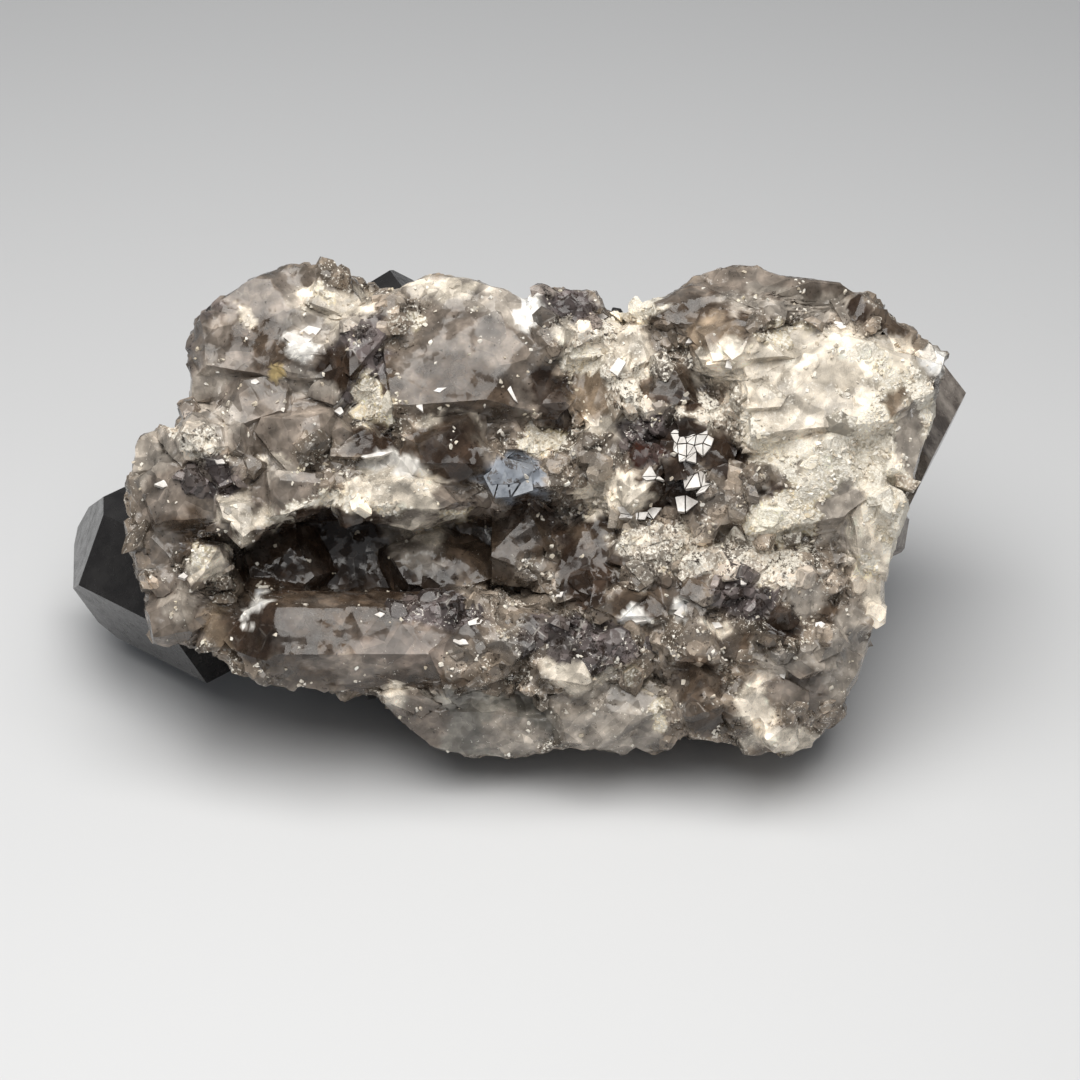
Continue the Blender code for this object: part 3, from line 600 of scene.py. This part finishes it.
def scatter_tree():
    """Grains of a collection scattered over a surface, at a density and size that its own values give."""
    tree = bpy.data.node_groups.new("scattered grains", "GeometryNodeTree")
    sockets = {}
    wanted = [
        ("Surface", "NodeSocketGeometry"), ("Grains", "NodeSocketCollection"),
        ("Thickness of cover", "NodeSocketString"), ("Closest", "NodeSocketFloat"),
        ("Most per square metre", "NodeSocketFloat"), ("Smallest", "NodeSocketFloat"),
        ("Largest", "NodeSocketFloat"), ("Lean", "NodeSocketFloat"), ("Seed", "NodeSocketInt"),
        ("Look", "NodeSocketMaterial"),
    ]
    for name, kind in wanted:
        sockets[name] = tree.interface.new_socket(name, in_out="INPUT", socket_type=kind).identifier
    tree.interface.new_socket("Grains on surface", in_out="OUTPUT", socket_type="NodeSocketGeometry")
    new, link = tree.nodes.new, tree.links.new
    given = new("NodeGroupInput").outputs

    cover = new("GeometryNodeInputNamedAttribute")
    cover.data_type = "FLOAT"
    link(given["Thickness of cover"], cover.inputs["Name"])
    spots = new("GeometryNodeDistributePointsOnFaces")
    spots.distribute_method = "POISSON"
    link(given["Surface"], spots.inputs["Mesh"])
    link(given["Closest"], spots.inputs["Distance Min"])
    link(given["Most per square metre"], spots.inputs["Density Max"])
    link(cover.outputs["Attribute"], spots.inputs["Density Factor"])
    link(given["Seed"], spots.inputs["Seed"])

    def chance(kind, low, high, shift):
        node = new("FunctionNodeRandomValue")
        node.data_type = kind
        place = {"FLOAT": 2, "FLOAT_VECTOR": 0, "INT": 4}[kind]
        for value, socket in ((low, node.inputs[place]), (high, node.inputs[place + 1])):
            if isinstance(value, bpy.types.NodeSocket):
                link(value, socket)
            else:
                socket.default_value = value
        node.inputs["Seed"].default_value = shift
        return node.outputs[{"FLOAT": 1, "FLOAT_VECTOR": 0, "INT": 2}[kind]]

    lean = new("ShaderNodeCombineXYZ")
    below = new("ShaderNodeMath")
    below.operation = "MULTIPLY"
    below.inputs[1].default_value = -1
    link(given["Lean"], below.inputs[0])
    link(chance("FLOAT", below.outputs[0], given["Lean"], 1), lean.inputs[0])
    link(chance("FLOAT", below.outputs[0], given["Lean"], 2), lean.inputs[1])
    link(chance("FLOAT", 0.0, math.tau, 3), lean.inputs[2])
    leaning = new("FunctionNodeEulerToRotation")
    link(lean.outputs[0], leaning.inputs[0])
    turned = new("FunctionNodeRotateRotation")
    turned.rotation_space = "LOCAL"
    link(spots.outputs["Rotation"], turned.inputs[0])
    link(leaning.outputs[0], turned.inputs[1])

    kinds = new("GeometryNodeCollectionInfo")
    kinds.inputs["Separate Children"].default_value = True
    kinds.inputs["Reset Children"].default_value = True
    link(given["Grains"], kinds.inputs["Collection"])
    grains = new("GeometryNodeInstanceOnPoints")
    grains.inputs["Pick Instance"].default_value = True
    link(spots.outputs["Points"], grains.inputs["Points"])
    link(kinds.outputs[0], grains.inputs["Instance"])
    link(chance("INT", 0, 40, 4), grains.inputs["Instance Index"])
    link(turned.outputs[0], grains.inputs["Rotation"])
    link(chance("FLOAT", given["Smallest"], given["Largest"], 5), grains.inputs["Scale"])
    toned = new("GeometryNodeStoreNamedAttribute")
    toned.domain = "INSTANCE"
    toned.data_type = "FLOAT"
    toned.inputs["Name"].default_value = "tone"
    link(grains.outputs[0], toned.inputs["Geometry"])
    link(chance("FLOAT", 0.0, 1.0, 6), toned.inputs["Value"])
    solid = new("GeometryNodeRealizeInstances")
    link(toned.outputs[0], solid.inputs[0])
    looks = new("GeometryNodeSetMaterial")
    link(solid.outputs[0], looks.inputs["Geometry"])
    link(given["Look"], looks.inputs["Material"])
    link(looks.outputs[0], new("NodeGroupOutput").inputs[0])
    return tree, sockets


grain_tree, grain_sockets = scatter_tree()


def scattered(name, surface, settings):
    """A plain mesh object of grains on a surface, from the settings of the scatter tree."""
    host = bpy.data.objects.new(name + " host", surface)
    scene.collection.objects.link(host)
    modifier = host.modifiers.new("scatter", "NODES")
    modifier.node_group = grain_tree
    for label, value in settings.items():
        modifier[grain_sockets[label]] = value
    bpy.context.view_layer.update()
    mesh = bpy.data.meshes.new_from_object(host.evaluated_get(bpy.context.evaluated_depsgraph_get()))
    bpy.data.objects.remove(host)
    mesh.name = name
    piece = bpy.data.objects.new(name, mesh)
    scene.collection.objects.link(piece)
    return piece


facing = ease(0.15, 0.5, outward @ np.array(OUT_OF_FACE))
chip_cover = 0.8 * ease(0.22, 0.95, coarse) * ease(-22, -16, seen(points)[2]) * facing
corner_values(slab_mesh, "chip_cover", chip_cover)
chip_settings = {
    "Grains": shape_set("chip shapes", [chip_shape(seed) for seed in range(7)]),
    "Thickness of cover": "chip_cover", "Closest": 1.5 * MM, "Most per square metre": 170000.0,
    "Smallest": 0.8 * MM, "Largest": 2.3 * MM, "Lean": 0.25, "Seed": 4, "Look": quartz_look,
}
quartz_chips = scattered("quartz_chips", slab_mesh, chip_settings)
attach(quartz_chips, "root")


# A sugary pale crust of tiny quartz and feldspar grains sits on the upper right mass, along the ledges and
# in the seams. Its grains are scattered in the same way, each under a millimetre.
def crust_look():
    n = Nodes("pale crust")
    tone = n.values("tone").outputs["Fac"]
    shade = n.mix(tone, (0.55, 0.47, 0.36), (0.92, 0.89, 0.82))
    shade = n.mix(n.span(n.noise(130, 3), 0.5, 0.68, 0.0, 0.5), shade, (0.86, 0.76, 0.52))
    shade = n.mix(n.span(n.noise(1900, 3), 0.3, 0.7, 0.0, 0.25), shade, (0.4, 0.35, 0.3))
    n.link(shade, n.shader.inputs["Base Color"])
    n.link(n.span(n.noise(800, 2), 0.3, 0.7, 0.35, 0.75), n.shader.inputs["Roughness"])
    n.link(n.bump(n.noise(3000, 2), 0.4, 0.0002), n.shader.inputs["Normal"])
    return n.material


def crust_shape(seed):
    chance = np.random.default_rng(seed)
    planes = [(chance.normal(size=3), chance.uniform(0.7, 1.0)) for _ in range(5)]
    return cut_shape("crust grain", planes + [((0, 0, -1), 0.5), ((1, 1, -1), 0.8), ((-1, -0.5, 0.2), 0.8)])


crust_share = mix[:, 4] + 0.3 * waves(points, size=3, seed=51)
crust_cover = ease(0.35, 1.1, crust_share) * ease(-20, -14, seen(points)[2]) * facing
corner_values(slab_mesh, "crust_cover", crust_cover)
crust_settings = {
    "Grains": shape_set("crust shapes", [crust_shape(seed) for seed in range(5)]),
    "Thickness of cover": "crust_cover", "Closest": 0.45 * MM, "Most per square metre": 1500000.0,
    "Smallest": 0.12 * MM, "Largest": 0.36 * MM, "Lean": 0.8, "Seed": 9, "Look": crust_look(),
}
quartz_crust = scattered("quartz_crust", slab_mesh, crust_settings)
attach(quartz_crust, "root")


# A few clean, flat facets lie at the slant that throws the light back: single glints, the cracked white
# plates in the middle, and a group of smooth blue-grey plates. Each is a plate of the same quartz, sunk in
# the slab. The glints and the white plates are also coloured pale, partly for the white quartz and partly as
# a painted highlight, so they stay light even where they throw no light to the eye.
slab_faces = [tuple(face.vertices) for face in slab_mesh.polygons]
slab_tree = BVHTree.FromPolygons([Vector(point) for point in points], slab_faces)


def sight_to(across, up):
    """The line from the camera's place to this place on the broken face."""
    return ((FACE_CENTRE + ACROSS * across + UP_FACE * up) * MM - EYE).normalized()


def glinting(spot):
    """The slant at which a facet here throws the overhead light to the eye."""
    return ((EYE - spot).normalized() + (LIGHT_SPOT - spot).normalized()).normalized()


def close_plate(body, top, way, depth):
    """Adds a plate to a mesh: its top corners, and the same corners pushed back along the way it looks."""
    bottom = [corner - way * depth * MM for corner in top]
    top, bottom = [[body.verts.new(corner) for corner in ring] for ring in (top, bottom)]
    body.faces.new(top)
    body.faces.new(list(reversed(bottom)))
    for i, corner in enumerate(top):
        after = (i + 1) % len(top)
        body.faces.new((top[after], corner, bottom[i], bottom[after]))


def single_glint(body, row, chance):
    across, up, half_width, half_height, roll = row
    spot = slab_tree.ray_cast(EYE, sight_to(across, up))[0]
    if not spot:
        return
    way = (glinting(spot) + Vector(chance.normal(0, 0.05, 3))).normalized()
    right = UP_FACE.cross(way).normalized()
    ahead = way.cross(right)
    sides = int(chance.integers(4, 6))
    top = []
    for i in range(sides):
        about = math.tau * (i + chance.uniform(-0.25, 0.25)) / sides
        flat = Vector((half_width * math.cos(about), half_height * math.sin(about)))
        flat.rotate(Matrix.Rotation(math.radians(roll), 2))
        top.append(spot + (right * flat.x + ahead * flat.y + way * 0.2) * MM)
    close_plate(body, top, way, 1.1)


def cracked_facet(body, facet, chance):
    """Plates in one plane over a round patch of the face, parted by narrow cracks."""
    across, up, half_width, half_height, spacing, flatness = facet
    columns, lines = [math.ceil(2 * half / spacing) for half in (half_width, half_height)]
    knots = chance.uniform(-0.44, 0.44, (columns + 1, lines + 1, 2))
    knots += np.indices((columns + 1, lines + 1)).transpose(1, 2, 0)
    knots = knots * spacing - np.array((half_width, half_height))
    outlines = []
    for i in range(columns):
        for j in range(lines):
            corners = [Vector(knots[i + step, j + rise]) for step, rise in ((0, 0), (1, 0), (1, 1), (0, 1))]
            halves = [corners[:3], [corners[0], *corners[2:]]] if chance.random() < 0.5 else [corners]
            outlines += halves
    middles = [sum(outline, Vector((0, 0))) / len(outline) for outline in outlines]
    found = [slab_tree.ray_cast(EYE, sight_to(across + middle.x, up + middle.y))[0] for middle in middles]
    slant = glinting(found[len(found) // 2]).lerp(OUT_OF_FACE, flatness).normalized()
    level = float(np.percentile([spot.dot(slant) for spot in found], 62)) + 0.5 * MM
    for outline, middle, spot in zip(outlines, middles, found):
        outside = (middle.x / half_width) ** 2 + (middle.y / half_height) ** 2 > 1
        if outside or not -0.6 * MM < level - spot.dot(slant) < 2.5 * MM:
            continue
        lean = Vector(chance.normal(0, 0.1, 2))
        top = []
        for corner in outline:
            corner = middle + (corner - middle) * 0.86
            sight = sight_to(across + corner.x, up + corner.y)
            lift = lean.dot(corner - middle) * MM
            top.append(EYE + sight * ((level + lift - EYE.dot(slant)) / sight.dot(slant)))
        close_plate(body, top, slant, 2.8)


def plates(name, look, glints, facets_wanted, seed):
    chance = np.random.default_rng(seed)
    body = bmesh.new()
    for row in glints:
        single_glint(body, row, chance)
    for facet in facets_wanted:
        cracked_facet(body, facet, chance)
    bmesh.ops.recalc_face_normals(body, faces=body.faces[:])
    bmesh.ops.triangulate(body, faces=body.faces[:])
    mesh = bpy.data.meshes.new(name)
    body.to_mesh(mesh)
    body.free()
    mesh.materials.append(look)
    piece = bpy.data.objects.new(name, mesh)
    scene.collection.objects.link(piece)
    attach(piece, "root")


def pale_glint_look():
    n = Nodes("clean facets")
    # The pale base colour is partly white quartz and partly a painted highlight: it keeps these plates white
    # like the glints they stand for.
    shade = n.mix(n.span(n.noise(350, 4), 0.3, 0.7), (0.42, 0.38, 0.34), (0.88, 0.85, 0.81))
    n.link(shade, n.shader.inputs["Base Color"])
    n.link(n.span(n.noise(600, 4, 0.7), 0.3, 0.7, 0.14, 0.45), n.shader.inputs["Roughness"])
    n.shader.inputs["IOR"].default_value = 1.544
    n.link(n.bump(n.noise(900, 3), 0.12, 0.0002), n.shader.inputs["Normal"])
    return n.material


def blue_look():
    n = Nodes("blue-grey facets")
    shade = n.mix(n.span(n.noise(500, 5, 0.7), 0.35, 0.65), (0.13, 0.145, 0.17), (0.30, 0.32, 0.35))
    n.link(shade, n.shader.inputs["Base Color"])
    n.link(n.span(n.noise(700, 4, 0.7), 0.3, 0.7, 0.25, 0.5), n.shader.inputs["Roughness"])
    n.link(n.bump(n.noise(1400, 4, 0.7), 0.3, 0.0003), n.shader.inputs["Normal"])
    return n.material


# Each glint: across, up, half width, half height and roll
GLINTS = [
    (-75, 11.4, 2.2, 1.0, 8), (-16, -20.2, 1.9, 0.8, -20), (-13, -16.4, 1.6, 0.8, 15),
    (-32, -15, 1.1, 0.6, 0), (-48.5, 39.5, 3.2, 1.6, -35), (-46, 41.5, 2.4, 1.4, 20),
    (8, 40.5, 2.8, 1.1, -6), (15.6, 34.6, 1.8, 2.0, 20), (38, 35.5, 1.4, 1.4, 30),
    (43.6, 43.6, 1.5, 0.9, 0), (-71, -7, 1.4, 0.9, 10), (28.4, -14.2, 1.7, 1.6, 0),
    (19.6, -15.8, 2.0, 0.9, -10), (-1.4, 45, 1.7, 3.4, 0), (-64, 16, 1.0, 1.3, 30),
    (-40.5, 26, 0.9, 1.4, 50), (35, -17, 1.7, 0.8, -20), (48, -27, 1.2, 1.8, 10),
    (-33, 17, 3.2, 0.4, 10), (79, 36, 1.5, 1.9, 0), (12, 44.6, 1.6, 0.8, 0), (30, 40, 1.2, 0.7, 25),
    (24, 27, 1.2, 0.9, 40), (-57, 31.6, 0.9, 0.6, 0), (56, -17, 1.1, 0.7, 0), (4, -11, 1.0, 0.6, 30),
    (-22, 2, 1.6, 0.7, -30), (41, -8.4, 1.3, 0.6, 10), (60, 43, 1.4, 0.8, -20), (-24, 27, 0.8, 1.6, 30),
    (-6, 30, 0.5, 3.0, 32), (-20, 30, 1.4, 0.5, 20),
]
# Each cracked facet: across, up, half width, half height, width of a plate, and how far it lies with the face
WHITE_GLINT_FACETS = [
    (30.0, 19.9, 3.9, 4.3, 1.7, 0.5), (17.4, 5.0, 3.4, 1.3, 1.8, 0.5), (22.4, 7.0, 3.0, 2.0, 2.3, 0.5),
    (27.4, 7.6, 3.2, 1.7, 2.4, 0.5), (31.0, 11.2, 2.2, 2.6, 2.4, 0.5), (22.7, 12.6, 1.9, 1.2, 1.9, 0.5),
]
BLUE_FACETS = [(-5.0, 13.4, 5.6, 3.4, 4.4, 0.8), (-7.0, 9.2, 4.0, 1.6, 2.6, 0.8)]
plates("bright_facets", pale_glint_look(), GLINTS, WHITE_GLINT_FACETS, 71)
plates("blue_grey_facets", blue_look(), [], BLUE_FACETS, 72)


# The black crystals are morion, smoky quartz so dark that it looks opaque, with smooth glassy faces that
# grew naturally. They keep the CAD solids' shape, grown fast into the slab.
def black_quartz():
    n = Nodes("black smoky quartz")
    cloud = n.noise(160, 5, 0.6)
    shade = n.mix(n.span(cloud, 0.3, 0.75), (0.012, 0.011, 0.011), (0.032, 0.030, 0.029))
    n.link(shade, n.shader.inputs["Base Color"])
    n.link(n.span(n.noise(340, 4, 0.7), 0.3, 0.7, 0.13, 0.36), n.shader.inputs["Roughness"])
    n.shader.inputs["IOR"].default_value = 1.544
    n.link(n.bump(n.noise(700, 4, 0.6), 0.25, 0.0003), n.shader.inputs["Normal"])
    return n.material


morion = black_quartz()
for name in ("left_crystals", "top_crystal", "rear_crystals"):
    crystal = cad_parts[name]
    crystal.data.materials.clear()
    crystal.data.materials.append(morion)


# Between the large crystals the far side is covered by small ones of the same black quartz, each a short
# six-sided prism with a blunt tip, grown fast to the slab.
def small_crystal(seed):
    chance = np.random.default_rng(seed)
    planes = [((0, 0, -1), 0.5)]
    for i in range(6):
        about = math.tau * i / 6
        planes.append(((math.cos(about), math.sin(about), 0), chance.uniform(0.3, 0.38)))
        planes.append(((math.cos(about), math.sin(about), 0.79), chance.uniform(0.66, 0.78)))
    return cut_shape("small crystal", planes)


facing_back = ease(0.2, 0.6, -(outward @ np.array(OUT_OF_FACE)))
off_the_ground = points[:, 2] > 6 * MM
crystal_cover = facing_back * ease(-25, -29, seen(points)[2]) * off_the_ground
corner_values(slab_mesh, "crystal_cover", crystal_cover)
crystal_settings = {
    "Grains": shape_set("small crystal shapes", [small_crystal(seed) for seed in range(4)]),
    "Thickness of cover": "crystal_cover", "Closest": 2.6 * MM, "Most per square metre": 90000.0,
    "Smallest": 2.2 * MM, "Largest": 5.0 * MM, "Lean": 0.45, "Seed": 12, "Look": morion,
}
small_crystals = scattered("small_crystals", slab_mesh, crystal_settings)
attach(small_crystals, "root")


# The crystals at the right edge are smoky quartz too, but paler, grey-brown and a little see-through, with
# cloudy patches inside. They keep the CAD solids' shape, grown fast into the slab.
def grey_quartz():
    n = Nodes("grey smoky quartz")
    cloud = n.noise(190, 5, 0.65)
    shade = n.mix(n.span(cloud, 0.35, 0.7), (0.2, 0.165, 0.14), (0.46, 0.41, 0.36))
    n.link(shade, n.shader.inputs["Base Color"])
    n.link(n.span(cloud, 0.4, 0.65, 0.6, 0.2), n.shader.inputs["Transmission Weight"])
    n.link(n.span(n.noise(420, 4, 0.7), 0.3, 0.7, 0.1, 0.3), n.shader.inputs["Roughness"])
    n.shader.inputs["IOR"].default_value = 1.544
    n.absorb((0.55, 0.45, 0.38), 90)
    n.link(n.bump(n.noise(600, 4, 0.6), 0.3, 0.0003), n.shader.inputs["Normal"])
    return n.material


right_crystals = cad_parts["right_crystals"]
right_crystals.data.materials.clear()
right_crystals.data.materials.append(grey_quartz())
